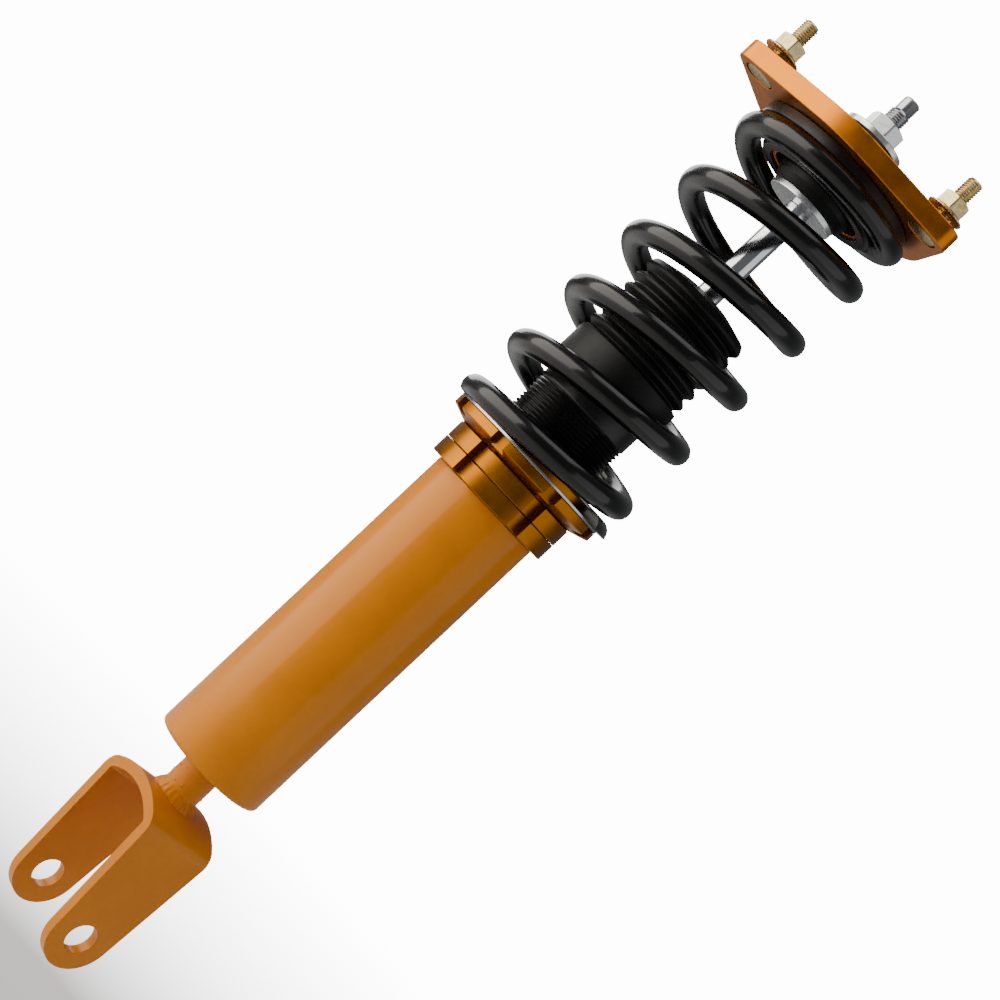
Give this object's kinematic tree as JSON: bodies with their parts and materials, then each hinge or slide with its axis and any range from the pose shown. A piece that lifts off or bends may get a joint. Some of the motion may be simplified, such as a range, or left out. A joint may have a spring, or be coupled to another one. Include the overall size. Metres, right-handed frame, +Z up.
{
  "type": "coilover",
  "caption": "Height-adjustable coil spring and damper with a clevis foot, lock rings, spring perch, bellows boot and a stud-mounted top plate.",
  "frame": {"origin": "centre of the lower bolt hole, midway between the clevis ears", "axes": "+X along the lower bolt, +Z up the damper's axis to the top mount, +Y completes a right-handed frame"},
  "size_m": [0.1221, 0.1227, 0.5315],
  "materials": {
    "bracket_paint": "gold-orange gloss paint on steel",
    "gold_anodised": "satin gold-orange anodising on machined aluminium",
    "black_gloss_coat": "gloss black powder coat on spring steel",
    "black_coat": "satin black coat on metal",
    "black_rubber": "moulded, satin",
    "urethane_foam": "microcellular urethane",
    "chrome": "hard chrome, ground and polished",
    "machined_aluminium": "turned",
    "bronze_filled_band": "bronze-filled bearing plastic",
    "bright_steel": "ground",
    "white_zinc": "clear zinc plating",
    "yellow_zinc": "yellow passivated zinc plating"
  },
  "bodies": {
    "bracket": {"clevis": "bracket_paint", "clevis_neck": "bracket_paint", "weld_beads": "bracket_paint", "lower_tube": "bracket_paint", "tube_base": "bracket_paint"},
    "lower_ring": {"lock_ring_lower": "gold_anodised"},
    "damper": {"damper_tube": "black_coat", "damper_base": "machined_aluminium", "rod_guide": "machined_aluminium", "rod_seal": "black_rubber", "guide_o_ring": "black_rubber", "gland_nut": "black_coat", "bump_stop": "urethane_foam", "dust_boot": "black_rubber"},
    "gas_piston": {"gas_piston": "machined_aluminium", "gas_piston_o_ring": "black_rubber"},
    "seat": {"seat_washer": "bright_steel", "coil_spring": "black_gloss_coat"},
    "perch": {"spring_perch": "gold_anodised"},
    "upper_ring": {"lock_ring_upper": "gold_anodised"},
    "rod": {"piston_rod": "chrome", "piston": "machined_aluminium", "piston_band": "bronze_filled_band", "valve_shims": "bright_steel", "topout_washer": "bright_steel", "piston_nut": "bright_steel", "support_washer": "white_zinc", "lower_bush": "black_rubber", "upper_bush": "black_rubber", "bush_sleeve": "white_zinc", "upper_washer": "white_zinc", "rod_nut": "white_zinc"},
    "top_mount": {"top_plate": "gold_anodised", "upper_spring_seat": "black_coat", "mount_studs": "yellow_zinc", "stud_nuts": "yellow_zinc"}
  },
  "joints": [
    {"name": "lower_ring_turn", "type": "hinge", "parent": "bracket", "child": "lower_ring", "pos_m": [0, 0, 0.2606], "axis": [0, 0, 1], "range_deg": [-4320, 0]},
    {"name": "ride_height", "type": "slide", "parent": "bracket", "child": "damper", "axis": [0, 0, 1], "range_m": [0, 0.024]},
    {"name": "preload", "type": "slide", "parent": "damper", "child": "seat", "axis": [0, 0, 1], "range_m": [0, 0.004], "deforming": ["coil_spring"]},
    {"name": "perch_turn", "type": "hinge", "parent": "seat", "child": "perch", "pos_m": [0, 0, 0.278], "axis": [0, 0, 1], "range_deg": [0, 720]},
    {"name": "upper_ring_turn", "type": "hinge", "parent": "seat", "child": "upper_ring", "pos_m": [0, 0, 0.2696], "axis": [0, 0, 1], "range_deg": [0, 720]},
    {"name": "stroke", "type": "slide", "parent": "damper", "child": "rod", "axis": [0, 0, -1], "range_m": [0, 0.055], "stiffness_N_per_m": 117700, "deforming": ["coil_spring"]},
    {"name": "gas_piston_travel", "type": "slide", "parent": "damper", "child": "gas_piston", "axis": [0, 0, -1], "range_m": [0, 0.0045]},
    {"name": "mount_swivel", "type": "hinge", "parent": "rod", "child": "top_mount", "pos_m": [0, 0, 0.4735], "axis": [0, 0, 1], "continuous": true}
  ],
  "couplings": [
    {"joint": "lower_ring_turn", "follows": "ride_height", "rad_per_m": -3141.6},
    {"joint": "perch_turn", "follows": "preload", "rad_per_m": 3141.6},
    {"joint": "upper_ring_turn", "follows": "preload", "rad_per_m": 3141.6},
    {"joint": "gas_piston_travel", "follows": "stroke", "ratio": 0.07438}
  ]
}
